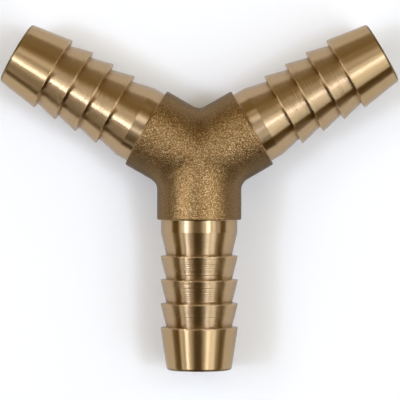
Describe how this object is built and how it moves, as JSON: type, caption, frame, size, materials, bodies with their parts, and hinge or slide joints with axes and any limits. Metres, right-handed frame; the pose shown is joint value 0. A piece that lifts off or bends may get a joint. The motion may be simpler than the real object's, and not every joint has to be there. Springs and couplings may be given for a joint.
{
  "type": "tubing y connector",
  "caption": "Brass Y connector for hose: a forged hub with equal barbed tails evenly spaced in one plane, bored through so that the flow divides.",
  "frame": {"origin": "where the three bore axes meet, in the middle of the hub", "axes": "-Y along the stem; +Z square to the plane of the Y, away from the surface it lies on; the other two arms point 30 degrees above +X and 30 degrees above -X"},
  "size_m": [0.0556, 0.0482, 0.0118],
  "materials": {
    "brass": "blasted forged skin on the hub, bright turned tails"
  },
  "bodies": {
    "root": {"y_connector": "brass"}
  },
  "joints": []
}
